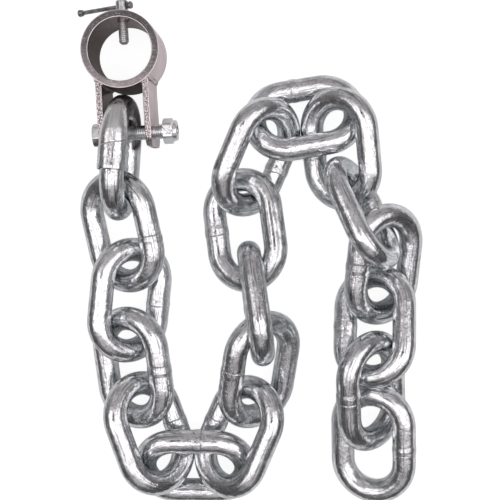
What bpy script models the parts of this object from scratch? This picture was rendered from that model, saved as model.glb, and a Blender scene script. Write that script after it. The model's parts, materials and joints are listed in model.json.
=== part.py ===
"""Lifting chain laid out in an S on the floor, with its bar collar.

Eighteen welded links of round steel wire lie as they fell, each through the next. The first link is
held by the bolt of a collar: a pipe ring with two welded cheeks and a clamp screw with a tommy bar.
Metres, +Z up, +Y towards the top of the layout. The floor is z = 0.
"""
import bpy
import bmesh
import numpy as np
from math import cos, sin, pi, radians
from mathutils import Euler, Matrix, Vector

# One link of the chain
WIRE = 0.0192                  # diameter of the round wire
INSIDE_LENGTH = 0.0644
OUTER_WIDTH = 0.0714
WIRE_SIDES = 12
BEND_STEPS = 10                # stretches in each half-round end

# Clearances between touching pieces
GAP = 0.0003
SEAT_GAP = 0.0004              # wire to wire, where one link pulls on the next
SEAT_ROUNDS = 40

# The collar that slides on the bar
RING_OUTER_R = 0.0315
RING_BORE_R = 0.0255
RING_LENGTH = 0.050
RING_CHAMFER = 0.0008
RING_SIDES = 48
CHEEK_GAP = 0.0325             # clear width between the two cheeks
CHEEK_THICK = 0.005
CHEEK_END_Y = -0.0785          # rounded end of the cheeks, from the ring's axis
CHEEK_CORNER_R = 0.009
CORNER_STEPS = 5

# The bolt that carries the first link
BOLT_R = 0.006
BOLT_LENGTH = 0.060
BOLT_Y = -0.0662
BOLT_HOLE_R = BOLT_R + 0.0004
HEAD_FLATS = 0.019
HEAD_HEIGHT = 0.0078
NUT_HEX_HEIGHT = 0.0080
NUT_COLLAR_R = 0.0085          # round locking collar beyond the hexagon
NUT_COLLAR_LENGTH = 0.0036
NUT_BACK_OFF = 0.0071          # the nut isn't run up to the cheek
BOLT_Z = 0.0273                # the bolt rests in the lower corner of the first link's bend
HEX_CHAMFER = 0.0012
TURNED_SIDES = 24

# The clamp screw and its sliding bar
SCREW_R = 0.004
SCREW_TIP_Y = 0.0075
SCREW_END_Y = 0.0435
SCREW_HEAD_R = 0.005
SCREW_HEAD_LENGTH = 0.0090
SCREW_CHAMFER = 0.0020
SCREW_Z = RING_LENGTH / 2
SCREW_HOLE_R = SCREW_R + GAP
BAR_R = 0.00175
BAR_CAP_R = 0.0031
BAR_CAP_NECK_R = 0.0026        # the upset caps taper towards the bar
BAR_CAP_LENGTH = 0.0040
BAR_REACH = 0.0446             # between the two caps
BAR_HOLE_R = BAR_R + GAP
BAR_SLOPE = radians(25)
BAR_SIDES = 16
EDGE = 0.0006                  # small chamfer on the screw's head, the nut's collar and the bar's caps

# Where the collar stands, and how far it is turned
COLLAR_PLACE = (-0.102, 0.163)
COLLAR_TURN = radians(3.5)

# How each link lies: middle x, middle y and lift off the floor in mm, then heading, tilt and roll
# in degrees. Heading points on along the chain, tilt raises that end, roll raises one side.
FIRST_RUN = [
    (-103, 77, 0, -93, 4, -86),
    (-104, 16, 4, -78, -4, 27),
    (-97, -40, 0, -95, 3, -36),
    (-95, -96, 2, -83, -6, 27),
    (-81, -150, 1, -70, -1, -42),
]
LOW_TURN = [(-44, -178, 0, -1, 0, 28)]
MIDDLE_RUN = [
    (-8, -152, 3, 67, 3, -34),
    (10, -97, 0, 81, 15, 38),
    (6, -42, 0, 99, -16, 95),
    (-3, 18, 5, 98, -8, -24),
    (6, 78, 1, 67, 4, 45),
]
HIGH_TURN = [(46, 111, 5, 10, -4, -21)]
LAST_RUN = [
    (77, 83, 2, -84, -8, 34),
    (93, 32, 0, -66, 17, -67),
    (111, -11, 0, -95, -12, -33),
    (104, -61, 1, -92, 16, 27),
    (101, -114, 0, -87, -16, -41),
    (103, -159, 0, -89, -9, 19),
]
LAYOUT = FIRST_RUN + LOW_TURN + MIDDLE_RUN + HIGH_TURN + LAST_RUN


def clear_scene():
    for old in list(bpy.data.objects):
        bpy.data.objects.remove(old)


def steel(name, colour, roughness):
    material = bpy.data.materials.new(name)
    material.use_nodes = True
    shader = material.node_tree.nodes["Principled BSDF"]
    shader.inputs["Base Color"].default_value = (*colour, 1)
    shader.inputs["Metallic"].default_value = 1
    shader.inputs["Roughness"].default_value = roughness
    return material


def finished_mesh(bm, name):
    bmesh.ops.recalc_face_normals(bm, faces=bm.faces)
    mesh = bpy.data.meshes.new(name)
    bm.to_mesh(mesh)
    bm.free()
    mesh.shade_smooth()
    mesh.set_sharp_from_angle(angle=radians(35))
    return mesh


def add_object(name, mesh, material=None):
    body = bpy.data.objects.new(name, mesh)
    bpy.context.scene.collection.objects.link(body)
    if material:
        body.data.materials.append(material)
    return body


def bridge(bm, low, high):
    for i in range(len(low)):
        j = (i + 1) % len(low)
        bm.faces.new((low[i], low[j], high[j], high[i]))


# One link

def link_centreline():
    """Middle line of the wire: two straight sides joined by half-round ends."""
    bend_r = (OUTER_WIDTH - WIRE) / 2
    bend_x = (INSIDE_LENGTH + WIRE) / 2 - bend_r
    points = []
    for side in (1, -1):
        for step in range(BEND_STEPS + 1):
            turn = pi * step / BEND_STEPS - pi / 2
            points.append(Vector((side * (bend_x + bend_r * cos(turn)), side * bend_r * sin(turn), 0)))
    return points


def link_mesh():
    """Round wire swept along the middle line, with one edge row on the inside of the bends."""
    line = link_centreline()
    count = len(line)
    bm = bmesh.new()
    rings = []
    for i, point in enumerate(line):
        along = (line[(i + 1) % count] - line[i - 1]).normalized()
        inward = Vector((-along.y, along.x, 0))
        ring = []
        for side in range(WIRE_SIDES):
            angle = 2 * pi * side / WIRE_SIDES
            spoke = inward * cos(angle) + Vector((0, 0, 1)) * sin(angle)
            ring.append(bm.verts.new(point + spoke * WIRE / 2))
        rings.append(ring)
    for i in range(count):
        bridge(bm, rings[i], rings[(i + 1) % count])
    return finished_mesh(bm, "link_wire")


def turn_of(heading, tilt, roll):
    return Euler((radians(roll), -radians(tilt), radians(heading))).to_matrix()


def dense_loop(points, per_side=8):
    """Points along the straight stretches of a closed line, as one array."""
    corners = np.array(points)
    ahead = np.roll(corners, -1, axis=0)
    share = np.arange(per_side) / per_side
    return (corners[:, None] + (ahead - corners)[:, None] * share[None, :, None]).reshape(-1, 3)


def closest_points(first, second):
    """The two points where a pair of loops comes nearest, one on each."""
    gaps = ((first[:, None] - second[None]) ** 2).sum(axis=2)
    i, j = np.unravel_index(gaps.argmin(), gaps.shape)
    return first[i], second[j]


def seat_links(loops):
    """Eases the laid loops against each other: each pulls on the next, and none cuts a neighbour."""
    wanted = WIRE + SEAT_GAP
    for _ in range(SEAT_ROUNDS):
        for reach in (2, 1):
            for i in range(len(loops) - reach):
                j = i + reach
                here, there = closest_points(loops[i], loops[j])
                line = there - here
                distance = np.linalg.norm(line)
                if reach == 1 or distance < wanted:
                    push = line / distance * (wanted - distance) / 2
                    loops[i] = loops[i] - push
                    loops[j] = loops[j] + push
        for i, loop in enumerate(loops):
            sunk = WIRE / 2 - loop[:, 2].min()
            loops[i] = loop + (0, 0, max(0, sunk))
    return loops


def place_links():
    """Lays the links by the list, seats them against each other and makes one object for each."""
    line = dense_loop(link_centreline())
    shape = link_mesh()
    turns = [turn_of(*angles) for _, _, _, *angles in LAYOUT]
    laid = []
    for (x_mm, y_mm, lift_mm, *_), turn in zip(LAYOUT, turns):
        loop = line @ np.array(turn).T
        lowest = loop[:, 2].min() - WIRE / 2
        laid.append(loop + np.array([x_mm, y_mm, lift_mm]) / 1000 - (0, 0, lowest))
    links = []
    for number, (loop, turn) in enumerate(zip(seat_links(laid), turns), start=1):
        zinc = steel(f"zinc_on_link_{number:02d}", (0.62, 0.64, 0.66), 0.25)
        link = add_object(f"link_{number:02d}", shape.copy(), zinc)
        link.matrix_world = Matrix.Translation(loop.mean(axis=0)) @ turn.to_4x4()
        links.append(link)
    return links


# Turned and extruded pieces

def ring_radius(kind, size, angle):
    """A round section has one radius; a hexagon of given half width bulges to its corners."""
    if kind == "round":
        return size
    first_flat = pi / 6 if kind == "corner first" else 0
    return size / cos((angle - first_flat + pi / 6) % (pi / 3) - pi / 6)


def turned(name, outline, sides, hollow=False):
    """Turns rows of (kind, radius, along) about the Z axis; a hollow outline closes on itself."""
    bm = bmesh.new()
    rings = []
    for kind, size, along in outline:
        ring = []
        for side in range(sides):
            angle = 2 * pi * side / sides
            radius = ring_radius(kind, size, angle)
            ring.append(bm.verts.new((radius * cos(angle), radius * sin(angle), along)))
        rings.append(ring)
    for low, high in zip(rings, rings[1:]):
        bridge(bm, low, high)
    if hollow:
        bridge(bm, rings[-1], rings[0])
    else:
        bm.faces.new(reversed(rings[0]))
        bm.faces.new(rings[-1])
    return finished_mesh(bm, name)


def cutter(name, radius, length, sides, place, turn, collar):
    """A round cutter centred on a place of the collar, with its axis turned from Z."""
    outline = [("round", radius, -length / 2), ("round", radius, length / 2)]
    tool = add_object(name, turned(name, outline, sides))
    tool.parent = collar
    tool.location = place
    tool.rotation_euler = turn
    tool.hide_render = True
    tool.display_type = "WIRE"
    return tool


def cut(body, tool):
    modifier = body.modifiers.new(tool.name, "BOOLEAN")
    modifier.operation = "DIFFERENCE"
    modifier.object = tool


# The collar: every piece is placed from the ring's axis at floor level

def build_ring(collar):
    edge_out = RING_OUTER_R - RING_CHAMFER
    edge_in = RING_BORE_R + RING_CHAMFER
    shoulder = RING_LENGTH - RING_CHAMFER
    outline = [
        ("round", edge_out, 0), ("round", RING_OUTER_R, RING_CHAMFER),
        ("round", RING_OUTER_R, shoulder), ("round", edge_out, RING_LENGTH),
        ("round", edge_in, RING_LENGTH), ("round", RING_BORE_R, shoulder),
        ("round", RING_BORE_R, RING_CHAMFER), ("round", edge_in, 0),
    ]
    nickel = steel("nickel_plated_pipe", (0.42, 0.38, 0.36), 0.28)
    ring = add_object("collar_ring", turned("collar_ring", outline, RING_SIDES, hollow=True), nickel)
    ring.parent = collar
    wall = (0, (RING_OUTER_R + RING_BORE_R) / 2, SCREW_Z)
    cut(ring, cutter("tap", SCREW_HOLE_R, RING_BORE_R, TURNED_SIDES, wall, (pi / 2, 0, 0), collar))


def cheek_outline():
    """Side view of a cheek: u runs towards the ring, v along the ring's axis."""
    points = [(0, 0), (0, RING_LENGTH)]
    for v_side, start in ((RING_LENGTH - CHEEK_CORNER_R, 0), (CHEEK_CORNER_R, pi / 2)):
        for step in range(CORNER_STEPS + 1):
            angle = start + pi / 2 * step / CORNER_STEPS
            u = CHEEK_END_Y + CHEEK_CORNER_R - CHEEK_CORNER_R * sin(angle)
            v = v_side + CHEEK_CORNER_R * cos(angle)
            points.append((u, v))
    return points


def build_cheeks(collar):
    """Two plates whose inner ends are cut to the ring, with the bolt hole through both."""
    middle = (0, 0, RING_LENGTH / 2)
    bite = cutter("bite", RING_OUTER_R + GAP, RING_LENGTH * 2, RING_SIDES, middle, (0, 0, 0), collar)
    axis = (0, BOLT_Y, BOLT_Z)
    drill = cutter("drill", BOLT_HOLE_R, CHEEK_GAP * 2, TURNED_SIDES, axis, (0, pi / 2, 0), collar)
    for name, side in (("left_cheek", -1), ("right_cheek", 1)):
        bm = bmesh.new()
        faces = []
        for x in (CHEEK_GAP / 2, CHEEK_GAP / 2 + CHEEK_THICK):
            faces.append([bm.verts.new((side * x, u, v)) for u, v in cheek_outline()])
        bridge(bm, faces[0], faces[1])
        bm.faces.new(faces[0])
        bm.faces.new(reversed(faces[1]))
        plate = steel(name + "_plate", (0.50, 0.47, 0.46), 0.3)
        cheek = add_object(name, finished_mesh(bm, name), plate)
        cheek.parent = collar
        cut(cheek, bite)
        cut(cheek, drill)


def build_bolt(collar):
    """Hexagon bolt through both cheeks, head on the left, with its nut near the far end."""
    bearing = -(CHEEK_GAP / 2 + CHEEK_THICK + GAP)
    tip = bearing + BOLT_LENGTH
    flat = HEAD_FLATS / 2
    outline = [
        ("round", flat, bearing - HEAD_HEIGHT), ("corner first", flat, bearing - HEAD_HEIGHT + HEX_CHAMFER),
        ("corner first", flat, bearing), ("round", BOLT_R, bearing),
        ("round", BOLT_R, tip - HEX_CHAMFER), ("round", BOLT_R - HEX_CHAMFER, tip),
    ]
    zinc = steel("zinc_plated_bolt", (0.66, 0.66, 0.67), 0.3)
    bolt = add_object("clevis_bolt", turned("clevis_bolt", outline, TURNED_SIDES), zinc)
    near = CHEEK_GAP / 2 + CHEEK_THICK + NUT_BACK_OFF
    shoulder = near + NUT_HEX_HEIGHT
    far = shoulder + NUT_COLLAR_LENGTH
    bore = BOLT_R + GAP
    outline = [
        ("round", flat, near), ("flat first", flat, near + HEX_CHAMFER),
        ("flat first", flat, shoulder - HEX_CHAMFER), ("round", flat, shoulder),
        ("round", NUT_COLLAR_R, shoulder), ("round", NUT_COLLAR_R, far - EDGE),
        ("round", NUT_COLLAR_R - EDGE, far), ("round", bore, far), ("round", bore, near),
    ]
    bright = steel("zinc_plated_nut", (0.68, 0.68, 0.68), 0.28)
    nut = add_object("clevis_nut", turned("clevis_nut", outline, TURNED_SIDES, hollow=True), bright)
    for piece in (bolt, nut):
        piece.parent = collar
        piece.location = (0, BOLT_Y, BOLT_Z)
        piece.rotation_euler = (0, pi / 2, 0)


def build_screw(collar):
    """Clamp screw with a plain drilled head, and the capped bar that slides in its hole."""
    head = SCREW_END_Y - SCREW_HEAD_LENGTH
    outline = [
        ("round", SCREW_R - SCREW_CHAMFER, SCREW_TIP_Y), ("round", SCREW_R, SCREW_TIP_Y + SCREW_CHAMFER),
        ("round", SCREW_R, head), ("round", SCREW_HEAD_R, head),
        ("round", SCREW_HEAD_R, SCREW_END_Y - EDGE), ("round", SCREW_HEAD_R - EDGE, SCREW_END_Y),
    ]
    thread = steel("screw_steel", (0.55, 0.54, 0.53), 0.3)
    screw = add_object("clamp_screw", turned("clamp_screw", outline, TURNED_SIDES), thread)
    screw.parent = collar
    screw.location = (0, 0, SCREW_Z)
    screw.rotation_euler = (-pi / 2, 0, 0)
    hole = (0, SCREW_END_Y - SCREW_HEAD_LENGTH / 2, SCREW_Z)
    across = (0, pi / 2 - BAR_SLOPE, 0)
    cut(screw, cutter("eye", BAR_HOLE_R, SCREW_HEAD_R * 4, BAR_SIDES, hole, across, collar))
    near_cap = SCREW_HEAD_R + GAP
    far_cap = near_cap - BAR_REACH
    near_end = near_cap + BAR_CAP_LENGTH
    far_end = far_cap - BAR_CAP_LENGTH
    slim = BAR_CAP_R - EDGE
    outline = [
        ("round", slim, far_end), ("round", BAR_CAP_R, far_end + EDGE), ("round", BAR_CAP_NECK_R, far_cap),
        ("round", BAR_R, far_cap), ("round", BAR_R, near_cap),
        ("round", BAR_CAP_NECK_R, near_cap), ("round", BAR_CAP_R, near_end - EDGE), ("round", slim, near_end),
    ]
    rod = steel("bar_steel", (0.45, 0.45, 0.46), 0.35)
    bar = add_object("tommy_bar", turned("tommy_bar", outline, BAR_SIDES), rod)
    bar.parent = collar
    bar.location = hole
    bar.rotation_euler = across


def build_collar():
    collar = bpy.data.objects.new("collar_place", None)
    bpy.context.scene.collection.objects.link(collar)
    build_ring(collar)
    build_cheeks(collar)
    build_bolt(collar)
    build_screw(collar)
    hinge = Vector((0, BOLT_Y, BOLT_Z))
    for piece in collar.children:      # the empty stands on the bolt's axis, where the collar turns
        piece.location -= hinge
    collar.location = Vector((*COLLAR_PLACE, 0)) + Matrix.Rotation(COLLAR_TURN, 3, "Z") @ hinge
    collar.rotation_euler = (0, 0, COLLAR_TURN)
    return collar


def centre_on_floor(movers):
    """Puts the middle of the whole layout over the origin."""
    bpy.context.view_layer.update()
    shown = [o for o in bpy.data.objects if o.type == "MESH" and not o.hide_render]
    corners = [o.matrix_world @ v.co for o in shown for v in o.data.vertices]
    middle = [(min(c[k] for c in corners) + max(c[k] for c in corners)) / 2 for k in (0, 1)]
    for piece in movers:
        piece.location -= Vector((*middle, 0))


clear_scene()
laid_links = place_links()
collar_place = build_collar()
centre_on_floor(laid_links + [collar_place])
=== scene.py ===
import json
import math

import bmesh
import bpy
import numpy as np
from mathutils import Matrix, Vector, noise


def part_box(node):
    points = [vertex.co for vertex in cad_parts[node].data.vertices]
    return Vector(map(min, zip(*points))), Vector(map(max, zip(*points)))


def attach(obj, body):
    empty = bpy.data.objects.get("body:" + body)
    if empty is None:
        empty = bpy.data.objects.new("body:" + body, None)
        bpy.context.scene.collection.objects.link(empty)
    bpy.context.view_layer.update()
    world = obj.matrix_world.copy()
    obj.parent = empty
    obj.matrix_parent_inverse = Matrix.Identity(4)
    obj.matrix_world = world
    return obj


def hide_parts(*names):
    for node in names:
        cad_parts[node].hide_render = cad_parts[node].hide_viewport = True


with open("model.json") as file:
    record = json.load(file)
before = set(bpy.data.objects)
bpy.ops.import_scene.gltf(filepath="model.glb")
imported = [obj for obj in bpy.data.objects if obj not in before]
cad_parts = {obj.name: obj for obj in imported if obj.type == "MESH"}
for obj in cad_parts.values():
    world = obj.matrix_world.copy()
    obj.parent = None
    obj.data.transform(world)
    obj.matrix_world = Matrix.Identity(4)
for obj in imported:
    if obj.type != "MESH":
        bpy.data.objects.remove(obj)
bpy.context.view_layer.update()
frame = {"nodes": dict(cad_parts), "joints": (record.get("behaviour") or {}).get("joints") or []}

up = Vector((0, 0, 1))
quarterTurn = math.pi / 2


# one output socket, so that shader maths reads as sums
class Flow:
    def __init__(self, tree, socket=None):
        self.tree = tree
        self.socket = socket

    # any node: its settings are set first, then the values or links of its sockets
    def node(self, kind, settings={}, inputs={}, output=0):
        made = self.tree.nodes.new("ShaderNode" + kind)
        for name, value in settings.items():
            if name == "stops":
                fillRamp(made.color_ramp, value)
            else:
                setattr(made, name, value)
        for name, value in inputs.items():
            if isinstance(value, Flow):
                self.tree.links.new(value.socket, made.inputs[name])
            else:
                made.inputs[name].default_value = value
        return Flow(self.tree, made.outputs[output])

    def maths(self, operation, a, b=0.0):
        return self.node("Math", {"operation": operation}, {0: a, 1: b})

    def __add__(self, other):
        return self.maths("ADD", self, other)

    def __sub__(self, other):
        return self.maths("SUBTRACT", self, other)

    def __rsub__(self, other):
        return self.maths("SUBTRACT", other, self)

    def __mul__(self, other):
        return self.maths("MULTIPLY", self, other)

    def __truediv__(self, other):
        return self.maths("DIVIDE", self, other)

    __radd__ = __add__
    __rmul__ = __mul__

    def ease(self, low, high):  # 0 below low, 1 above high
        settings = {"interpolation_type": "SMOOTHSTEP"}
        return self.node("MapRange", settings, {"Value": self, "From Min": low, "From Max": high})

    def blend(self, first, second):  # colours, by this mask
        return self.node("Mix", {"data_type": "RGBA"}, {0: self, 6: first, 7: second}, 2)


def fillRamp(ramp, stops):
    while len(ramp.elements) < len(stops):
        ramp.elements.new(0.5)
    for element, (place, colour) in zip(ramp.elements, stops):
        element.position = place
        element.color = colour


def rgb(r, g, b):
    return (r, g, b, 1.0)


# a material's tree, its shader, and the places that its noises read
def startMaterial(name, metallic=1.0):
    material = bpy.data.materials.new(name)
    material.use_nodes = True
    tree = material.node_tree
    shader = tree.nodes["Principled BSDF"]
    shader.inputs["Metallic"].default_value = metallic
    flow = Flow(tree)
    place = flow.node("Attribute", {"attribute_name": "place"}, output="Vector")
    return material, flow, shader, place


# height is the relief in metres
def plug(flow, shader, colour, roughness, height):
    links = flow.tree.links
    links.new(colour.socket, shader.inputs["Base Color"])
    links.new(roughness.socket, shader.inputs["Roughness"])
    normal = flow.node("Bump", {}, {"Height": height, "Distance": 1.0, "Strength": 1.0})
    links.new(normal.socket, shader.inputs["Normal"])


def speckle(flow, place, scale, detail, rough, stretch=(1, 1, 1), shift=(0, 0, 0)):
    moved = flow.node("Mapping", {}, {"Vector": place, "Location": shift, "Scale": stretch})
    sizes = {"Vector": moved, "Scale": scale, "Detail": detail, "Roughness": rough}
    return flow.node("TexNoise", {}, sizes)


# a mask for each row: a noise's scale, detail, roughness and stretch, and the two values
# between which the mask rises from 0 to 1; a row without those gives the plain noise
def noiseMasks(flow, place, rows, shift=(0, 0, 0)):
    masks = {}
    for kind, (scale, detail, rough, stretch, *rise) in rows.items():
        plain = speckle(flow, place, scale, detail, rough, stretch, shift)
        masks[kind] = plain.ease(*rise) if rise else plain
    return masks


# the masks that are named in shares, each times its share
def mixed(masks, shares):
    return sum(masks[kind] * share for kind, share in shares.items())


def attribute(flow, name):
    return flow.node("Attribute", {"attribute_name": name}, output="Fac")


evenly = (1, 1, 1)  # a noise that isn't stretched

zincLooks = {
    "bright": rgb(0.955, 0.975, 0.985),
    "grey": rgb(0.76, 0.776, 0.786),
    "tarnish": rgb(0.068, 0.07, 0.071),
    "weldGrey": rgb(0.37, 0.375, 0.375),
    "dull": rgb(0.90, 0.905, 0.895),
    "edgeTint": rgb(0.95, 0.965, 0.975),
    "rough": 0.05,
    "noises": {
        "cloud": (120, 4, 0.55, evenly, 0.40, 0.58),
        "grain": (1100, 3, 0.6, evenly),
        "pit": (900, 2, 0.55, evenly, 0.64, 0.70),
        "soot": (500, 4, 0.55, evenly, 0.50, 0.60),
        "wave": (260, 2, 0.55, evenly),
    },
    "wireNoises": {             # these run along the bent wire
        "smudge": (230, 4, 0.65, (0.30, 1, 1), 0.55, 0.64),
        "longStreak": (620, 3, 0.6, (0.05, 1, 1), 0.57, 0.64),
        "fineStreak": (1400, 3, 0.6, (0.12, 1, 1), 0.46, 0.66),
        "dent": (420, 2, 0.6, (0.35, 1, 1)),
    },
    "fleckRise": (0.54, 0.66),  # on the grain
    "streakShares": {"smudge": 0.20, "longStreak": 0.55},
    "fleckShares": {"fleck": 0.50, "fineStreak": 0.20},
    "weldShares": {"soot": 0.35, "pit": 0.5},
    "dullShare": 0.6,
    "roughened": {"smudge": 0.04, "longStreak": 0.08, "fineStreak": 0.03, "pit": 0.15,
                  "soot": 0.10, "rub": 0.04, "dull": 0.16},
    "relief": {"wave": 0.00024, "dent": 0.00015, "longStreak": -0.00004, "fineStreak": -0.000015,
               "grain": 0.00003, "soot": 0.00003},
}


# bright zinc plate on bent wire: cloudy tint, drawn streaks, small pits, a duller weld
def zincMaterial(name, shift):
    material, flow, shader, place = startMaterial(name)
    shader.inputs["Specular Tint"].default_value = zincLooks["edgeTint"]
    wire = flow.node("Attribute", {"attribute_name": "wirePlace"}, output="Vector")
    masks = noiseMasks(flow, place, zincLooks["noises"], shift)
    masks.update(noiseMasks(flow, wire, zincLooks["wireNoises"], shift))
    masks["fleck"] = masks["grain"].ease(*zincLooks["fleckRise"])
    masks["soot"] = masks["soot"] * attribute(flow, "weldZone")
    masks["rub"] = attribute(flow, "rubZone")
    masks["dull"] = attribute(flow, "dullZone")
    colour = masks["cloud"].blend(zincLooks["grey"], zincLooks["bright"])
    colour = mixed(masks, zincLooks["streakShares"]).blend(colour, zincLooks["tarnish"])
    colour = mixed(masks, zincLooks["fleckShares"]).blend(colour, zincLooks["tarnish"])
    colour = mixed(masks, zincLooks["weldShares"]).blend(colour, zincLooks["weldGrey"])
    colour = (masks["dull"] * zincLooks["dullShare"]).blend(colour, zincLooks["dull"])
    rough = zincLooks["rough"] + mixed(masks, zincLooks["roughened"])
    plug(flow, shader, colour, rough, mixed(masks, zincLooks["relief"]))
    return material


nickelLooks = {
    "plate": rgb(0.86, 0.80, 0.81),
    "stain": rgb(0.72, 0.66, 0.665),
    "edgeTint": rgb(0.91, 0.85, 0.85),
    # dark colour of specks and crust, and of the painted shade
    "darkAndPaintedShade": rgb(0.115, 0.092, 0.084),
    "rough": 0.10,
    "noises": {
        "cloud": (60, 4, 0.55, evenly, 0.35, 0.65),
        "fine": (600, 4, 0.55, evenly),
        "speck": (900, 3, 0.55, evenly, 0.63, 0.70),
        "scratch": (700, 2, 0.55, (1, 1, 0.05), 0.6, 0.72),
        "paintedShadePatch": (300, 4, 0.55, evenly),
        "wave": (170, 3, 0.55, evenly),
    },
    "speckShare": 0.15,
    "paintedShadeFrom": 0.75,           # the painted shade is at least this dark
    "paintedShadeVaries": 0.5,
    "paintedShadeRough": 0.2,
    "roughened": {"fine": 0.07, "scratch": 0.06, "speck": 0.15},
    "relief": {"wave": 0.00003, "fine": 0.000005, "scratch": 0.000006},
}


# nickel over turned steel, a little warm, with faint stains; darkened by painted shade in the painted-shade
# zone
def nickelMaterial(name):
    material, flow, shader, place = startMaterial(name)
    shader.inputs["Specular Tint"].default_value = nickelLooks["edgeTint"]
    masks = noiseMasks(flow, place, nickelLooks["noises"])
    varied = nickelLooks["paintedShadeFrom"] + masks["paintedShadePatch"] * nickelLooks["paintedShadeVaries"]
    # painted shade: darker between the cheeks and in the bore, varied by a noise
    darkAndPaintedShade = attribute(flow, "burntZone") * varied
    colour = masks["cloud"].blend(nickelLooks["stain"], nickelLooks["plate"])
    colour = (masks["speck"] * nickelLooks["speckShare"]).blend(colour, nickelLooks["darkAndPaintedShade"])
    colour = darkAndPaintedShade.blend(colour, nickelLooks["darkAndPaintedShade"])
    rough = nickelLooks["rough"] + mixed(masks, nickelLooks["roughened"])
    rough = rough + darkAndPaintedShade * nickelLooks["paintedShadeRough"]
    plug(flow, shader, colour, rough, mixed(masks, nickelLooks["relief"]))
    return material


crustLooks = {
    "patchEdge": 0.10,          # how softly bright patches end
    "patchDetail": 5,
    "patchRough": 0.65,
    "lumpScale": 1.6,           # times the patches' scale
    "lumpDetail": 4,
    "lumpRough": 0.6,
    "rough": 0.24,
    "burntRough": 0.25,
}


# the sawn and ground edge of a plate, and the crust of a weld
def crustMaterial(name, scale, relief, darkShare):
    material, flow, shader, place = startMaterial(name)
    looks = crustLooks
    patch = speckle(flow, place, scale, looks["patchDetail"], looks["patchRough"])
    patch = patch.ease(darkShare, darkShare + looks["patchEdge"])
    colour = patch.blend(nickelLooks["darkAndPaintedShade"], nickelLooks["plate"])
    rough = looks["rough"] + (1 - patch) * looks["burntRough"]
    lump = speckle(flow, place, scale * looks["lumpScale"], looks["lumpDetail"], looks["lumpRough"])
    plug(flow, shader, colour, rough, lump * relief)
    return material


fastenerLooks = {
    "darkening": rgb(0.10, 0.095, 0.095),
    "noises": {
        "cloud": (160, 4, 0.55, evenly, 0.4, 0.62),
        "grain": (1600, 3, 0.55, evenly),
        "speck": (1100, 3, 0.55, evenly, 0.62, 0.70),
    },
    "darkeningShares": {"groove": 0.4, "speck": 0.3},
    "roughened": {"cloud": 0.06, "groove": 0.2, "speck": 0.1},
    "relief": {"grain": 0.00002, "cloud": 0.00005},
}


# cut steel, for the bolt, its nut, the clamp screw and its bar, darker in the thread grooves and at specks;
# finish is its bright colour, its dull colour, its roughness and how metallic it is
def fastenerMaterial(name, finish):
    bright, dull, rough, metallic = finish
    material, flow, shader, place = startMaterial(name, metallic)
    masks = noiseMasks(flow, place, fastenerLooks["noises"])
    masks["groove"] = attribute(flow, "grooveZone")
    colour = masks["cloud"].blend(dull, bright)
    # darker in the thread grooves and at specks
    colour = mixed(masks, fastenerLooks["darkeningShares"]).blend(colour, fastenerLooks["darkening"])
    roughness = rough + mixed(masks, fastenerLooks["roughened"])
    plug(flow, shader, colour, roughness, mixed(masks, fastenerLooks["relief"]))
    return material


def makePiece(name, verts, faces, materials, attributes={}, sharpest=40):
    mesh = bpy.data.meshes.new(name)
    mesh.from_pydata([tuple(v) for v in verts], [], [tuple(int(i) for i in f) for f in faces])
    for label, values in attributes.items():
        layer = mesh.attributes.new(label, "FLOAT", "POINT")
        layer.data.foreach_set("value", np.asarray(values, np.float32))
    bm = bmesh.new()
    bm.from_mesh(mesh)
    bmesh.ops.recalc_face_normals(bm, faces=bm.faces)
    bm.to_mesh(mesh)
    bm.free()
    piece = bpy.data.objects.new(name, mesh)
    bpy.context.scene.collection.objects.link(piece)
    for material in materials:
        mesh.materials.append(material)
    mesh.shade_smooth()
    mesh.set_sharp_from_angle(angle=math.radians(sharpest))
    return piece


# quads over a grid of points, rows by columns; a loop closes on itself
def gridFaces(rows, columns, loopRows):
    r = np.arange(rows if loopRows else rows - 1)[:, None]
    c = np.arange(columns)[None, :]
    nextRow, nextColumn = (r + 1) % rows, (c + 1) % columns
    corners = (r * columns + c, r * columns + nextColumn,
               nextRow * columns + nextColumn, nextRow * columns + c)
    return np.stack(np.broadcast_arrays(*corners), -1).reshape(-1, 4)


# the faces of a tube of rings of points, with a cap at either end
def cappedFaces(rows, sides):
    faces = [tuple(f) for f in gridFaces(rows, sides, False)]
    faces.append(tuple(range(sides))[::-1])
    faces.append(tuple(range((rows - 1) * sides, rows * sides)))
    return faces


def ringAngles(sides):
    return np.arange(sides) * 2 * math.pi / sides


# a turned piece: rows of (radius, along), its axis along Z; a hollow one closes on itself
def turnedPiece(name, rows, sides, materials, hollow=False, radiusAt=None, attributes=None,
                sharpest=40):
    angles = ringAngles(sides)
    rows = np.array(rows, float)
    radius = rows[:, :1] * np.ones(sides) if radiusAt is None else radiusAt(rows, angles)
    along = rows[:, 1:2] * np.ones(sides)
    grid = np.stack([radius * np.cos(angles), radius * np.sin(angles), along], -1)
    faces = gridFaces(len(rows), sides, True) if hollow else cappedFaces(len(rows), sides)
    layers = attributes(rows, angles) if attributes else {}
    return makePiece(name, grid.reshape(-1, 3), faces, materials, layers, sharpest)


def vectorLayer(mesh, name, values):
    layer = mesh.attributes.new(name, "FLOAT_VECTOR", "POINT")
    layer.data.foreach_set("vector", np.asarray(values, np.float32).reshape(-1))


# keeps a piece's own coordinates for its finish, then moves its points to where they lie
def standStill(piece, matrix):
    mesh = piece.data
    own = np.zeros(len(mesh.vertices) * 3, np.float32)
    mesh.vertices.foreach_get("co", own)
    vectorLayer(mesh, "place", own)
    mesh.transform(matrix)
    mesh.update()


def applyModifiers(piece):
    bpy.context.view_layer.update()
    seen = piece.evaluated_get(bpy.context.evaluated_depsgraph_get())
    mesh = bpy.data.meshes.new_from_object(seen)
    piece.modifiers.clear()
    piece.data = mesh


def cutAway(piece, tools):
    for tool in tools:
        modifier = piece.modifiers.new("cut", "BOOLEAN")
        modifier.operation = "DIFFERENCE"
        modifier.solver = "EXACT"
        modifier.object = tool
    applyModifiers(piece)
    for tool in tools:
        bpy.data.objects.remove(tool)


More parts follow.
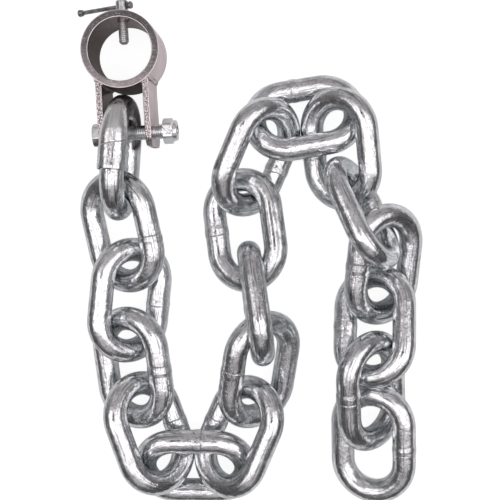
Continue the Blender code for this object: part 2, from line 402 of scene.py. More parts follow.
def softenEdges(piece, width, angle=35, material=-1):
    modifier = piece.modifiers.new("soften", "BEVEL")
    modifier.width = width
    modifier.segments = 2
    modifier.limit_method = "ANGLE"
    modifier.angle_limit = math.radians(angle)
    modifier.harden_normals = True
    modifier.material = material
    applyModifiers(piece)


def nodePoints(node):
    points = np.array([v.co for v in frame["nodes"][node].data.vertices])
    return np.unique(np.round(points, 6), axis=0)


chainLink = {
    "count": 18,
    "wire": 0.0192,
    "insideLength": 0.0644,
    "outerWidth": 0.0714,
    "sides": 44,
    "step": 0.0017,             # between rows along the wire
    "weldStep": 0.00028,
    "weldMargin": 0.0045,       # the closer rows run this far past the weld's band
    "weldReach": 0.0036,        # half the length of the weld's raised band
    "reachVaries": (0.8, 1.2),
    "weldRise": 0.00038,
    "riseVaries": 0.35,
    "bandEdges": (0.0003, 0.0030),      # one edge of the band is steep, the other fades
    "bandWobble": (0.0004, 0.0006),     # at its near and far edge
    "grooveDepth": 0.00028,     # along the steep edge
    "grooveWidth": 0.00022,
    "grooveGap": 0.0002,
    "longWeldReach": 0.0105,    # on the first link
    "longWeldSlant": 0.0023,
    "longWeldSwell": (0.0007, 0.0019),  # on top and at its sides, from the weld towards the bolt
    "swellStart": 0.0005,       # over which the swell rises
    "swellFade": (0.018, 0.036),        # past the weld, where it starts to go and is gone
    "dullFade": (0.050, 0.060),
    "dentDepth": 0.00004,
    "dentScale": 120,
    "sootEdge": 0.0015,         # over which the weld's sooty zone fades
    "rubLength": 0.012,         # of the bend, over which the rubbed zone starts
    "rubInside": (0.2, 0.7),    # how far in on the bend it starts and is full
}

# for each link: the way its welded side faces, and how far along it the weld lies, in mm
weldPlaces = [
    ("up", 3), ("right", 11), ("right", 1), ("right", 2), ("right", 3), ("back", 2),
    ("left", -1), ("left", 1), ("down", 0), ("left", 3), ("right", -3), ("back", -4),
    ("left", 4), ("down", -10), ("left", 1), ("left", 0), ("left", -5), ("right", 2),
]
ways = {"up": (0, 0, 1), "down": (0, 0, -1), "left": (-1, 0, 0), "right": (1, 0, 0), "back": (0, 1, 0)}


# rises from 0 where the values pass 0 to 1 where they reach span
def ramp(values, span):
    return np.clip(values / span, 0, 1)


# a link's own frame from its CAD node: x along it, y across towards its weld, z through it
def linkFrame(number):
    points = nodePoints(f"link_{number:02d}")
    centre = points.mean(axis=0)
    axes = np.linalg.svd(points - centre, full_matrices=False)[2]
    here = min(number, chainLink["count"] - 1)
    onward = nodePoints(f"link_{here + 1:02d}").mean(axis=0) - nodePoints(f"link_{here:02d}").mean(axis=0)
    toWeld = np.array(ways[weldPlaces[number - 1][0]])
    along = axes[0] * (1 if axes[0] @ onward > 0 else -1)
    across = axes[1] * (1 if axes[1] @ toWeld > 0 else -1)
    turn = np.stack([along, across, np.cross(along, across)], axis=1)
    return Matrix.Translation(centre) @ Matrix(turn).to_4x4()


# the bends' radius, half the straight side, and the length of a bend, on the wire's middle line
def wireSizes():
    bendRadius = (chainLink["outerWidth"] - chainLink["wire"]) / 2
    straight = (chainLink["insideLength"] + chainLink["wire"]) / 2 - bendRadius
    return bendRadius, straight, math.pi * bendRadius


# middle line of the wire: s runs from the middle of the plain side round to it again
def wireLine(s):
    bendRadius, straight, bend = wireSizes()
    places, normals = [], []
    for value in s:
        if value < straight:
            places.append((value, -bendRadius))
            normals.append((0, -1))
        elif value < straight + bend:
            turn = (value - straight) / bendRadius - quarterTurn
            places.append((straight + bendRadius * math.cos(turn), bendRadius * math.sin(turn)))
            normals.append((math.cos(turn), math.sin(turn)))
        elif value < 3 * straight + bend:
            places.append((2 * straight + bend - value, bendRadius))
            normals.append((0, 1))
        elif value < 3 * straight + 2 * bend:
            turn = (value - 3 * straight - bend) / bendRadius + quarterTurn
            places.append((-straight + bendRadius * math.cos(turn), bendRadius * math.sin(turn)))
            normals.append((math.cos(turn), math.sin(turn)))
        else:
            places.append((value - 4 * straight - 2 * bend, -bendRadius))
            normals.append((0, -1))
    return np.array(places), np.array(normals)


# where the rows of points lie along the wire: closer together at the weld
def wireRows(length, weldAt, zone):
    plain = np.arange(0, length, chainLink["step"])
    plain = plain[np.abs(plain - weldAt) > zone + chainLink["step"] / 2]
    close = np.arange(weldAt - zone, weldAt + zone, chainLink["weldStep"])
    return np.sort(np.concatenate([plain, close]))


# the weld's raised band with uneven edges: where they are, and how far the skin stands out
def weldBand(draws, off, angles, reach, slant):
    waves = (1, 2, 3, 5)
    wobble = sum(draws.uniform(-1, 1) * np.cos(k * angles + draws.uniform(0, 6)) / k for k in waves)
    near = reach + chainLink["bandWobble"][0] * wobble
    far = reach + chainLink["bandWobble"][1] * np.roll(wobble, 11) - slant * np.sin(angles)
    rise = chainLink["weldRise"] * (1 + chainLink["riseVaries"] * np.roll(wobble, 5))
    steep, soft = chainLink["bandEdges"]
    if draws.uniform() < 0.5:
        band = ramp(near + off, steep) * ramp(far - off, soft)
        fromGroove = off + near + chainLink["grooveGap"]
    else:
        band = ramp(near + off, soft) * ramp(far - off, steep)
        fromGroove = off - far - chainLink["grooveGap"]
    groove = chainLink["grooveDepth"] * np.exp(-(fromGroove / chainLink["grooveWidth"]) ** 2)
    return near, far, band * rise - groove


# the first link is thicker past its weld, and duller on to the bolt
def firstLinkSwell(off, near, far, angles):
    onTop, atSide = chainLink["longWeldSwell"]
    swellFrom, swellTo = chainLink["swellFade"]
    dullFrom, dullTo = chainLink["dullFade"]
    thick = onTop * np.clip(np.cos(angles), 0, 1)
    thick = thick + atSide * np.abs(np.sin(angles)) * (np.cos(angles) > -0.6)
    ends = ramp(off + near, chainLink["swellStart"]) * ramp(swellTo - off, swellTo - swellFrom)
    dull = ramp(off - far, 0.002) * ramp(dullTo - off, dullTo - dullFrom)
    return ends * thick, dull


# points on the wire's skin, a little uneven
def wireSkin(places, normals, angles, radius, number):
    x = places[:, :1] + normals[:, :1] * (radius * np.cos(angles))
    y = places[:, 1:2] + normals[:, 1:2] * (radius * np.cos(angles))
    points = np.stack([x, y, radius * np.sin(angles)], -1).reshape(-1, 3)
    outward = np.stack([normals[:, :1] * np.cos(angles), normals[:, 1:2] * np.cos(angles),
                        np.ones((len(places), 1)) * np.sin(angles)], -1).reshape(-1, 3)
    seed = Vector((number * 1.7, number * 0.9, 0))
    dents = np.array([noise.noise(seed + Vector(p) * chainLink["dentScale"]) for p in points])
    return points + outward * (dents[:, None] - 0.5) * chainLink["dentDepth"]


def makeLink(number):
    draws = np.random.default_rng(number)
    first = number == 1
    _, straight, bend = wireSizes()
    length = 4 * straight + 2 * bend
    weldAt = 2 * straight + bend - weldPlaces[number - 1][1] / 1000
    if first:
        reach, slant = chainLink["longWeldReach"], chainLink["longWeldSlant"]
    else:
        reach, slant = chainLink["weldReach"] * draws.uniform(*chainLink["reachVaries"]), 0
    zone = reach + chainLink["weldMargin"]
    s = wireRows(length, weldAt, zone)
    places, normals = wireLine(s)
    angles = ringAngles(chainLink["sides"])
    off = s[:, None] - weldAt
    near, far, band = weldBand(draws, off, angles, reach, slant)
    radius = chainLink["wire"] / 2 + band
    dull = np.zeros_like(radius)
    if first:
        swell, dull = firstLinkSwell(off, near, far, angles)
        radius = radius + swell
    points = wireSkin(places, normals, angles, radius, number)
    weldZone = ramp(zone - np.abs(off), chainLink["sootEdge"]) * np.ones_like(angles)
    rubFrom, rubFull = chainLink["rubInside"]
    inner = ramp(-np.cos(angles) - rubFrom, rubFull - rubFrom)
    atBend = ramp(np.abs(places[:, :1]) - straight, chainLink["rubLength"])
    layers = {"weldZone": weldZone.reshape(-1), "rubZone": (atBend * inner).reshape(-1),
              "dullZone": dull.reshape(-1)}
    faces = gridFaces(len(s), len(angles), True)
    material = zincMaterial(f"zinc on link {number}", (number * 0.37, number * 0.21, number * 0.11))
    piece = makePiece(f"chainLink{number:02d}", points, faces, [material], layers)
    fromWeld = np.abs((s - weldAt + length / 2) % length - length / 2)
    vectorLayer(piece.data, "wirePlace", np.stack([
        fromWeld[:, None] * np.ones_like(angles), radius * np.cos(angles), radius * np.sin(angles)], -1))
    standStill(piece, linkFrame(number))
    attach(piece, "chain")
    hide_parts(f"link_{number:02d}")


for linkNumber in range(1, chainLink["count"] + 1):
    makeLink(linkNumber)
print("links made")


# the collar's own frame: the ring's axis at floor level, x along the bolt, y towards the screw
hinge = next(j for j in frame["joints"] if j["name"] == "collar_hinge")
ringLow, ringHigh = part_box("collar_ring")
boltWay = Vector(hinge["axis"]).normalized()
collarTurn = Matrix((boltWay, up.cross(boltWay), up)).transposed().to_4x4()
ringMiddle = Vector(((ringLow.x + ringHigh.x) / 2, (ringLow.y + ringHigh.y) / 2, 0))
collarFrame = Matrix.Translation(ringMiddle) @ collarTurn
boltPlace = collarFrame.inverted() @ Vector(hinge["pos_m"])


# moves a piece made in the collar's frame into place, on its body
def settle(piece, body, slotName, *nodes, place=None):
    standStill(piece, collarFrame @ (place or Matrix.Identity(4)))
    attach(piece, body)
    if nodes:
        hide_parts(*nodes)


def roundCutter(radius, length, place):
    tool = turnedPiece("cutter", [(radius, -length / 2), (radius, length / 2)], 64, [])
    tool.matrix_world = place
    return tool


collarRing = {
    "outer": 0.0315,
    "bore": 0.0255,
    "length": 0.050,
    "innerRound": 0.0007,
    "outerRound": 0.0006,
    "sides": 144,
    "screwHole": 0.0043,
    "paintedBoreShadeShare": 0.72,           # how dark the painted shade in the bore is
    "paintedBoreShadeVaries": 0.40,
    "paintedBoreShadeWay": math.radians(200),        # the side where the painted shade is darkest
}


# quarter-round rim from the end face round to the wall; side is 1 outside, -1 inside
def rimRows(wall, edge, side):
    turns = [quarterTurn * k / 5 for k in range(6)]
    return [(wall - side * edge * (1 - math.sin(t)), collarRing["length"] - edge * (1 - math.cos(t)))
            for t in turns]


# painted shade: the wall between the cheeks is darkened, and so is the bore, most of all on the left
def ringPaintedShade(rows, angles):
    outer, bore = collarRing["outer"], collarRing["bore"]
    between = ramp(cheek["gap"] / 2 + 0.001 - np.abs(outer * np.cos(angles)), 0.002) * (np.sin(angles) < 0)
    wall = ramp(rows[:, :1] - outer + 0.0004, 0.0003)
    paintedBoreShade = ramp(bore + 0.0005 - rows[:, :1], 0.0004)
    uneven = collarRing["paintedBoreShadeShare"] + collarRing["paintedBoreShadeVaries"] * np.cos(angles - collarRing["paintedBoreShadeWay"])
    return {"burntZone": (between * wall + uneven * paintedBoreShade).reshape(-1)}


def makeRing():
    outer, bore, length = collarRing["outer"], collarRing["bore"], collarRing["length"]
    outside = rimRows(outer, collarRing["outerRound"], 1)
    inside = rimRows(bore, collarRing["innerRound"], -1)
    rows = [(r, length - z) for r, z in outside]
    rows += [(outer, z) for z in np.linspace(0.003, length - 0.003, 12)]
    rows += outside[::-1]
    rows += [(r, length) for r in np.linspace(outer - 0.0008, bore + 0.0009, 5)]
    rows += inside + [(bore, z) for z in np.linspace(length - 0.004, 0.004, 9)]
    rows += [(r, length - z) for r, z in inside[::-1]]
    nickel = nickelMaterial("nickel on ring")
    ring = turnedPiece("collarRing", rows, collarRing["sides"], [nickel], hollow=True,
                       attributes=ringPaintedShade, sharpest=50)
    hole = Matrix.Translation((0, bore + 0.003, length / 2)) @ Matrix.Rotation(quarterTurn, 4, "X")
    cutAway(ring, [roundCutter(collarRing["screwHole"], 0.02, hole)])
    settle(ring, "collar", "collar_ring", "collar_ring")


cheek = {
    "gap": 0.0325,
    "thick": 0.005,
    "startY": -0.012,
    "endY": -0.0785,
    "corner": 0.009,
    "hole": 0.0064,
    "intoRing": 0.0002,
    "edgeRound": 0.0006,
    # painted shade on the inner face, between the cheeks
    "innerPaintedShade": 0.8,
    "sawnScale": 1000,
    "sawnRelief": 0.00012,
    "sawnDark": 0.46,
}


def cheekOutline():
    length, corner = collarRing["length"], cheek["corner"]
    points = [(cheek["startY"], 0.0), (cheek["startY"], length)]
    for centreZ, start in ((length - corner, 0), (corner, quarterTurn)):
        for step in range(11):
            turn = start + quarterTurn * step / 10
            y = cheek["endY"] + corner - corner * math.sin(turn)
            points.append((y, centreZ + corner * math.cos(turn)))
    return points


# a plate cut to the ring; its edge is left rough by the saw
def makeCheek(name, side, node):
    outline = cheekOutline()
    count = len(outline)
    inner, outer = cheek["gap"] / 2, cheek["gap"] / 2 + cheek["thick"]
    verts = [(side * x, y, z) for x in (inner, outer) for y, z in outline]
    faces = [(i, (i + 1) % count, count + (i + 1) % count, count + i) for i in range(count)]
    faces += [tuple(range(count)), tuple(range(2 * count - 1, count - 1, -1))]
    nickel = nickelMaterial(f"nickel on {node}")
    sawn = crustMaterial(f"sawn edge of {node}", cheek["sawnScale"], cheek["sawnRelief"], cheek["sawnDark"])
    # painted shade darkens the plate's inner face, between the cheeks
    paintedShadeValues = [cheek["innerPaintedShade"]] * count + [0] * count
    plate = makePiece(name, verts, faces, [nickel, sawn], {"burntZone": paintedShadeValues})
    for face in plate.data.polygons:
        face.material_index = 0 if abs(face.normal.x) > 0.5 else 1
    ringAt = Matrix.Translation((0, 0, collarRing["length"] / 2))
    ringCut = roundCutter(collarRing["outer"] - cheek["intoRing"], 0.1, ringAt)
    holeAt = Matrix.Translation((side * inner, boltPlace.y, boltPlace.z))
    holeAt = holeAt @ Matrix.Rotation(quarterTurn, 4, "Y")
    cutAway(plate, [ringCut, roundCutter(cheek["hole"], 0.03, holeAt)])
    softenEdges(plate, cheek["edgeRound"], material=0)
    settle(plate, "collar", node, node)


weldBead = {
    "radius": 0.0019,
    "sides": 20,
    "low": 0.0004,
    "high": 0.0498,
    "step": 0.0005,
    "middle": 0.0251,
    "half": 0.0249,
    "ripple": 0.0016,           # from one ripple to the next
    "rippleShare": 0.08,
    "lumpShare": 0.25,
    "drift": 0.0004,
    "innerShift": (0.0006, 0.0003),     # the inner beads lie in the corner
    "swellScale": (90, 150),    # the noises' scales, sideways and upwards
    "driftScale": 80,
    "lumpScale": (1.5, 300),
    "crustScale": (380, 17),    # of its finish, and how much more for each bead
    "relief": 0.0004,
    "dark": 0.42,
}


# a low run of weld metal up the corner between the ring and a cheek
def makeBead(name, x, y, seed, node):
    share = weldBead["lumpShare"]
    swellX, swellZ = weldBead["swellScale"]
    lumpRound, lumpZ = weldBead["lumpScale"]
    crustScale, crustStep = weldBead["crustScale"]
    heights = np.arange(weldBead["low"], weldBead["high"], weldBead["step"])
    angles = ringAngles(weldBead["sides"])
    points = []
    for z in heights:
        end = min(1, math.sqrt(max(0.02, 1 - ((z - weldBead["middle"]) / weldBead["half"]) ** 8)))
        swell = 1 + weldBead["rippleShare"] * math.sin(2 * math.pi * z / weldBead["ripple"])
        swell += share * noise.noise(Vector((x * swellX, seed, z * swellZ)))
        drift = weldBead["drift"] * noise.noise(Vector((seed, 3, z * weldBead["driftScale"])))
        for angle in angles:
            spot = Vector((math.cos(angle) * lumpRound + seed, math.sin(angle) * lumpRound, z * lumpZ))
            r = weldBead["radius"] * end * swell * (1 + share * noise.noise(spot))
            points.append((x + drift + r * math.cos(angle), y + r * math.sin(angle), z))
    faces = cappedFaces(len(heights), len(angles))
    scale = crustScale + seed * crustStep
    crust = crustMaterial(f"crust of {name}", scale, weldBead["relief"], weldBead["dark"])
    bead = makePiece(name, points, faces, [crust])
    settle(bead, "collar", node)


def makeBeads():
    innerX, outerX = cheek["gap"] / 2, cheek["gap"] / 2 + cheek["thick"]
    innerY, outerY = (-math.sqrt(collarRing["outer"] ** 2 - x ** 2) for x in (innerX, outerX))
    shiftX, shiftY = weldBead["innerShift"]
    makeBead("leftOuterBead", -outerX, outerY, 1, "left_cheek")
    makeBead("leftInnerBead", -innerX + shiftX, innerY - shiftY, 2, "left_cheek")
    makeBead("rightOuterBead", outerX, outerY, 3, "right_cheek")
    makeBead("rightInnerBead", innerX - shiftX, innerY - shiftY, 4, "right_cheek")


bolt = {
    "radius": 0.006,
    "length": 0.060,
    "pitch": 0.00175,
    "threadDepth": 0.0004,
    "plainTo": 0.018,           # plain shank from under the head
    "clearance": 0.0003,        # between the head and the cheek
    "headWasher": 0.9,          # the round under the head, against half its flats
    "flats": 0.019,             # of the nut
    "headHeight": 0.0078,
    "headFlats": 0.0172,
    "headTurn": math.radians(20),
    "nutHeight": 0.0080,        # of its hexagon
    "nutCollar": 0.0085,        # radius of the round locking collar beyond it
    "nutCollarLength": 0.0036,
    "nutCollarRound": 0.0014,
    "nutBackOff": 0.0071,
    "chamfer": 0.0008,
    "threadSteps": 16,          # rows for each turn of a thread
    "finish": (rgb(0.88, 0.895, 0.90), rgb(0.64, 0.65, 0.66), 0.12, 1.0),
    "nutFinish": (rgb(0.96, 0.975, 0.98), rgb(0.86, 0.875, 0.88), 0.10, 1.0),
}


hexagonForm = {
    "cornerWorn": 0.97,         # against a sharp corner
    "endInset": 0.95,           # radius of its flat end, against half its flats
    "endDrop": 0.75,            # how far the turned end falls at the corners
}


# the radius of a hexagon at each angle, from its width across flats, held in by the rows'
def hexagonRadius(flats, cornerTurn):
    def radiusAt(rows, angles):
        fold = (angles - cornerTurn) % (math.pi / 3) - math.pi / 6
        return np.minimum(flats / 2 / np.cos(fold)[None, :], rows[:, :1])
    return radiusAt


# rows whose radius bulges out to the corners and comes in again at a turned end
def hexagonRows(flats, low, high, turnedLow, turnedHigh):
    flat = flats / 2
    corner = flat / math.cos(math.pi / 6) * hexagonForm["cornerWorn"]
    inset, drop = flat * hexagonForm["endInset"], (corner - flat) * hexagonForm["endDrop"]
    turns = [quarterTurn * k / 8 for k in range(9)]
    rise = [(inset + (corner - inset) * math.sin(t), drop * (1 - math.cos(t))) for t in turns]
    rows = [(r, low + z) for r, z in rise] if turnedLow else [(corner, low)]
    rows += [(r, high - z) for r, z in rise[::-1]] if turnedHigh else [(corner, high)]
    return rows


threadForm = {                  # in shares of the pitch
    "root": 0.04,               # half the flat bottom of the groove
    "flank": 0.16,
    "runIn": 0.8,
    "runOut": 0.4,
}


# a screw thread with flat crests: its radius at each angle, and how deep in the groove that is
def threadRadius(rows, angles, pitch, depth, low, high):
    along = rows[:, 1:2]
    turn = (along - low) / pitch - angles[None, :] / (2 * math.pi)
    cut = np.clip(1 - (np.abs(turn % 1 - 0.5) - threadForm["root"]) / threadForm["flank"], 0, 1)
    fade = ramp(along - low, pitch * threadForm["runIn"])
    fade = fade * ramp(high - along, pitch * threadForm["runOut"])
    return rows[:, :1] - depth * cut * fade, cut * fade


# thread is its pitch, its depth and where it runs from and to
def threadedPiece(name, rows, sides, material, thread):
    def radiusAt(threadRows, angles):
        return threadRadius(threadRows, angles, *thread)[0]

    def grooves(threadRows, angles):
        return {"grooveZone": threadRadius(threadRows, angles, *thread)[1].reshape(-1)}

    return turnedPiece(name, rows, sides, [material], radiusAt=radiusAt, attributes=grooves,
                       sharpest=60)


def makeBolt(across):
    bearing = -(cheek["gap"] / 2 + cheek["thick"] + bolt["clearance"])
    tip = bearing + bolt["length"]
    radius = bolt["radius"]
    low, high = bearing + bolt["plainTo"], tip - bolt["chamfer"]
    zinc = fastenerMaterial("zinc on bolt", bolt["finish"])
    rows = [(radius, z) for z in np.linspace(bearing - 0.001, low, 8)]
    rows += [(radius, z) for z in np.arange(low + 0.0001, high, bolt["pitch"] / bolt["threadSteps"])]
    rows += [(radius - 0.0002, high + 0.0001), (radius - 0.0010, tip)]
    thread = (bolt["pitch"], bolt["threadDepth"], low, high)
    shank = threadedPiece("clevisBoltShank", rows, 48, zinc, thread)
    settle(shank, "collar", "clevis_bolt", place=across)
    flat, headTop, headEnd = bolt["flats"] / 2, bearing - bolt["headHeight"], bearing - 0.0005
    headRows = [(flat * 0.5, headTop)] + hexagonRows(bolt["headFlats"], headTop, headEnd, True, False)
    headRows += [(flat * bolt["headWasher"], headEnd), (flat * bolt["headWasher"], bearing)]
    hexagon = hexagonRadius(bolt["headFlats"], bolt["headTurn"])
    head = turnedPiece("clevisBoltHead", headRows, 96, [zinc], radiusAt=hexagon, sharpest=25)
    settle(head, "collar", "clevis_bolt", "clevis_bolt", place=across)


# a hexagon nut with a round locking collar, not run up to the cheek
def makeNut(across):
    near = cheek["gap"] / 2 + cheek["thick"] + bolt["nutBackOff"]
    shoulder = near + bolt["nutHeight"]
    far = shoulder + bolt["nutCollarLength"]
    collar, bore = bolt["nutCollar"], bolt["radius"] - 0.0003
    edge, chamfer = bolt["nutCollarRound"], bolt["chamfer"]
    rows = [(bolt["flats"] * 0.4, near)] + hexagonRows(bolt["flats"], near, shoulder, True, True)
    rows += [(collar + 0.0006, shoulder), (collar + 0.0001, shoulder + 0.0005)]
    rows += [(collar, z) for z in np.linspace(shoulder + 0.001, far - 0.0016, 4)]
    rows += [(collar - edge * (1 - math.cos(t)), far - edge * (1 - math.sin(t)))
             for t in np.linspace(0, 1.5, 7)]
    rows += [(bore + chamfer, far), (bore, far - chamfer), (bore, near + chamfer), (bore + chamfer, near)]
    bright = fastenerMaterial("zinc on nut", bolt["nutFinish"])
    hexagon = hexagonRadius(bolt["flats"], math.pi / 6)
    nut = turnedPiece("clevisNut", rows, 96, [bright], hollow=True, radiusAt=hexagon, sharpest=25)
    settle(nut, "collar", "clevis_nut", "clevis_nut", place=across)


clampScrew = {
    "radius": 0.004,
    "tipY": 0.0075,
    "endY": 0.0435,
    "headRadius": 0.005,
    "headLength": 0.009,
    "headRound": 0.0006,
    "eyeRound": 0.0002,
    "pitch": 0.0015,
    "threadDepth": 0.0006,
    "tipChamfer": 0.002,
    "height": 0.025,
    "barHole": 0.0025,
    "finish": (rgb(0.91, 0.925, 0.93), rgb(0.72, 0.73, 0.74), 0.25, 0.6),
    "headFinish": (rgb(0.56, 0.57, 0.575), rgb(0.34, 0.345, 0.35), 0.26, 1.0),
}
tommyBar = {
    "radius": 0.00175,
    "capRadius": 0.0031,
    "capNeck": 0.0026,
    "capLength": 0.004,
    "reach": 0.0446,
    "gap": 0.0003,
    "slope": math.radians(25),
    "finish": (rgb(0.45, 0.455, 0.46), rgb(0.25, 0.255, 0.26), 0.34, 1.0),
}


def makeScrew():
    outwards = Matrix.Translation((0, 0, clampScrew["height"])) @ Matrix.Rotation(-quarterTurn, 4, "X")
    radius, tip, end = clampScrew["radius"], clampScrew["tipY"], clampScrew["endY"]
    head, chamfer = end - clampScrew["headLength"], clampScrew["tipChamfer"]
    low, high = tip + chamfer - 0.0009, head - 0.0003
    steel = fastenerMaterial("zinc on screw", clampScrew["finish"])
    rows = [(radius - chamfer, tip), (radius - chamfer * 0.45, tip + chamfer * 0.4)]
    step = clampScrew["pitch"] / bolt["threadSteps"]
    rows += [(radius, z) for z in np.arange(tip + chamfer, head - 0.0004, step)]
    rows += [(radius, high), (radius, head + 0.002)]
    thread = (clampScrew["pitch"], clampScrew["threadDepth"], low, high)
    shank = threadedPiece("clampScrewShank", rows, 44, steel, thread)
    settle(shank, "clamp", "clamp_screw", place=outwards)
    big, edge = clampScrew["headRadius"], clampScrew["headRound"]
    headRows = [(big - edge, head), (big - edge * 0.3, head + edge * 0.3), (big, head + edge)]
    headRows += [(big, z) for z in np.linspace(head + 0.001, end - 0.001, 8)]
    headRows += [(big, end - edge), (big - edge * 0.3, end - edge * 0.3)]
    headRows += [(big - edge, end), (big * 0.5, end)]
    greyZinc = fastenerMaterial("zinc on screw head", clampScrew["headFinish"])
    screwHead = turnedPiece("clampScrewHead", headRows, 64, [greyZinc], sharpest=30)
    eye = Matrix.Translation((0, 0, (head + end) / 2)) @ Matrix.Rotation(quarterTurn, 4, "X")
    eye = eye @ Matrix.Rotation(quarterTurn - tommyBar["slope"], 4, "Y")
    cutAway(screwHead, [roundCutter(clampScrew["barHole"], 0.03, eye)])
    softenEdges(screwHead, clampScrew["eyeRound"], angle=50)
    settle(screwHead, "clamp", "clamp_screw", "clamp_screw", place=outwards)


# an upset end of the bar: it widens from the bar to a flat outer face with a worn rim
def capRows(inner, outer):
    neck, wide, span = tommyBar["capNeck"], tommyBar["capRadius"], outer - inner
    return [(neck - 0.0004, inner), (neck, inner + span * 0.1),
            ((neck + wide) / 2, inner + span * 0.45), (wide, inner + span * 0.82),
            (wide - 0.0002, inner + span * 0.94), (wide - 0.0006, outer)]


def makeBar():
    near = clampScrew["headRadius"] + tommyBar["gap"]
    far = near - tommyBar["reach"]
    rows = capRows(far, far - tommyBar["capLength"])[::-1]
    rows += [(tommyBar["radius"], z) for z in np.linspace(far + 0.0001, near - 0.0001, 20)]
    rows += capRows(near, near + tommyBar["capLength"])
    rod = fastenerMaterial("steel of bar", tommyBar["finish"])
    middle = (0, clampScrew["endY"] - clampScrew["headLength"] / 2, clampScrew["height"])
    lean = Matrix.Translation(middle) @ Matrix.Rotation(quarterTurn - tommyBar["slope"], 4, "Y")
    bar = turnedPiece("tommyBar", rows, 40, [rod], sharpest=30)
    settle(bar, "bar", "tommy_bar", "tommy_bar", place=lean)


makeRing()
makeCheek("leftCheek", -1, "left_cheek")
makeCheek("rightCheek", 1, "right_cheek")
makeBeads()
acrossCheeks = Matrix.Translation(boltPlace) @ Matrix.Rotation(quarterTurn, 4, "Y")
makeBolt(acrossCheeks)
makeNut(acrossCheeks)
makeScrew()
makeBar()
print("collar made")


# the ways of the light are tangents from straight up: x to the right of the photograph, y to its
# top; each set of four numbers is where a light starts, is full, begins to go and is gone
studio = {
    "cameraPlace": (0.04264, 0.03448, 0.85),
    "lens": 72,
    "shift": (-0.1, -0.076),
    "panel": rgb(1.0, 0.95, 0.972),
    "panelGlow": 1.3,
    "panelX": (-1.5, -0.80, 1.45, 2.3),
    "panelBack": (-0.58, -0.20, 0.20, 0.52),    # not a tangent but the way's own y
    "tailX": (-1.0, -0.1, 0.6, 1.4),            # its fainter front part
    "tailY": (-3.2, -0.9, -0.4, -0.1),
    "tailGlow": 0.30,
    "gapX": (-0.42, -0.28, 0.01, 0.07),         # a strip of it is shaded
    "gapY": (0.06, 0.14, 0.28, 0.46),
    "shade": rgb(0.06, 0.0575, 0.0585),
    "horizon": (0.1, 0.3),      # the lights rise between these heights
    "lowest": 0.02,             # keeps the tangents finite
    "wallStops": [(0.0, 0.11), (0.06, 0.13), (0.14, 0.15), (0.24, 0.18), (0.40, 0.22),
                  (0.50, 0.23), (0.62, 0.30), (0.80, 0.46), (1.0, 0.36)],  # front to back
    "sideLoss": 0.42,           # the walls are darker to the left and right
    "sideFrom": (0.4, 0.75),
    "floor": rgb(0.32, 0.32, 0.32),
    "floorGlow": 0.90,
    "floorSize": 30,
    "backdropGlow": 0.96,
    "backdropRadius": 20,
    "backdropHeight": 25,
    "table": rgb(0.84, 0.87, 0.87),
    "tableGlow": 0.05,
    "tableSize": 0.42,
    "tableHeight": -0.0005,
}


# a still surface of the set, from its points and faces
def makeSheet(name, verts, faces, colour, glow):
    mesh = bpy.data.meshes.new(name)
    mesh.from_pydata(verts, [], faces)
    sheet = bpy.data.objects.new(name, mesh)
    bpy.context.scene.collection.objects.link(sheet)
    material, _, shader, _ = startMaterial(name, 0.0)
    shader.inputs["Base Color"].default_value = colour
    shader.inputs["Roughness"].default_value = 0.9
    shader.inputs["Specular IOR Level"].default_value = 0
    shader.inputs["Emission Color"].default_value = rgb(1, 1, 1)
    shader.inputs["Emission Strength"].default_value = glow
    mesh.materials.append(material)
    return sheet


# a level square that reaches size each way from the middle
def flatSheet(name, height, size, colour, glow):
    corners = [(x * size, y * size, height) for x, y in ((-1, -1), (1, -1), (1, 1), (-1, 1))]
    return makeSheet(name, corners, [(0, 1, 2, 3)], colour, glow)


# only the camera sees it: it lights nothing, shades nothing and isn't mirrored
def onlySeen(sheet):
    sheet.visible_glossy = False
    sheet.visible_diffuse = False
    sheet.visible_shadow = False


# 1 inside four limits, easing from the outer to the inner pair
def within(flow, limits):
    return flow.ease(limits[0], limits[1]) * (1 - flow.ease(limits[2], limits[3]))


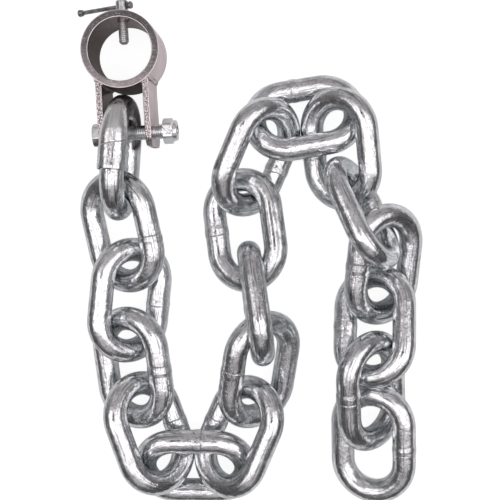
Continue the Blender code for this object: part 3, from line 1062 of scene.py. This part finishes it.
# a dim room with a long soft light overhead
def makeRoom():
    world = bpy.data.worlds.new("room")
    world.use_nodes = True
    flow = Flow(world.node_tree)
    way = flow.node("TexCoord", output="Generated")
    right, back, height = (flow.node("SeparateXYZ", {}, {"Vector": way}, axis) for axis in "XYZ")
    above = flow.maths("MAXIMUM", height, studio["lowest"])
    x, y = right / above, back / above
    risen = height.ease(*studio["horizon"])
    lit = within(x, studio["panelX"]) * within(back, studio["panelBack"]) * studio["panelGlow"]
    tail = within(x, studio["tailX"]) * within(y, studio["tailY"]) * studio["tailGlow"]
    gap = within(x, studio["gapX"]) * within(y, studio["gapY"]) * risen
    lit = (lit + tail) * (1 - gap) * risen
    red, green, blue, _ = studio["panel"]
    stops = [(place, rgb(grey * red, grey * green, grey * blue)) for place, grey in studio["wallStops"]]
    walls = flow.node("ValToRGB", {"stops": stops}, {"Fac": back * 0.5 + 0.5})
    loss = flow.maths("ABSOLUTE", right).ease(*studio["sideFrom"]) * studio["sideLoss"]
    walls = gap.blend(loss.blend(walls, rgb(0, 0, 0)), studio["shade"])
    adding = {"data_type": "RGBA", "blend_type": "ADD", "clamp_factor": False}
    glow = flow.node("Mix", adding, {0: lit, 6: walls, 7: studio["panel"]}, 2)
    world.node_tree.links.new(glow.socket, world.node_tree.nodes["Background"].inputs["Color"])
    bpy.context.scene.world = world


# the floor and backdrop that the camera sees, and the table that the metal mirrors
def makeSet():
    onlySeen(flatSheet("paleFloor", 0, studio["floorSize"], studio["floor"], studio["floorGlow"]))
    table = flatSheet("paleTable", studio["tableHeight"], studio["tableSize"], studio["table"],
                      studio["tableGlow"])
    table.visible_camera = False
    radius, turns = studio["backdropRadius"], ringAngles(48)
    rims = [(radius * math.cos(a), radius * math.sin(a), z)
            for z in (-0.01, studio["backdropHeight"]) for a in turns]
    faces = gridFaces(2, len(turns), False).tolist()
    onlySeen(makeSheet("paleBackdrop", rims, faces, rgb(0, 0, 0), studio["backdropGlow"]))


def makeCamera():
    lens = bpy.data.cameras.new("camera")
    lens.lens = studio["lens"]
    lens.shift_x, lens.shift_y = studio["shift"]
    lens.clip_start, lens.clip_end = 0.01, 100
    camera = bpy.data.objects.new("camera", lens)
    camera.location = studio["cameraPlace"]
    bpy.context.scene.collection.objects.link(camera)
    bpy.context.scene.camera = camera
    bpy.context.scene.view_settings.view_transform = "Standard"


makeSet()
makeRoom()
makeCamera()
print("studio made")
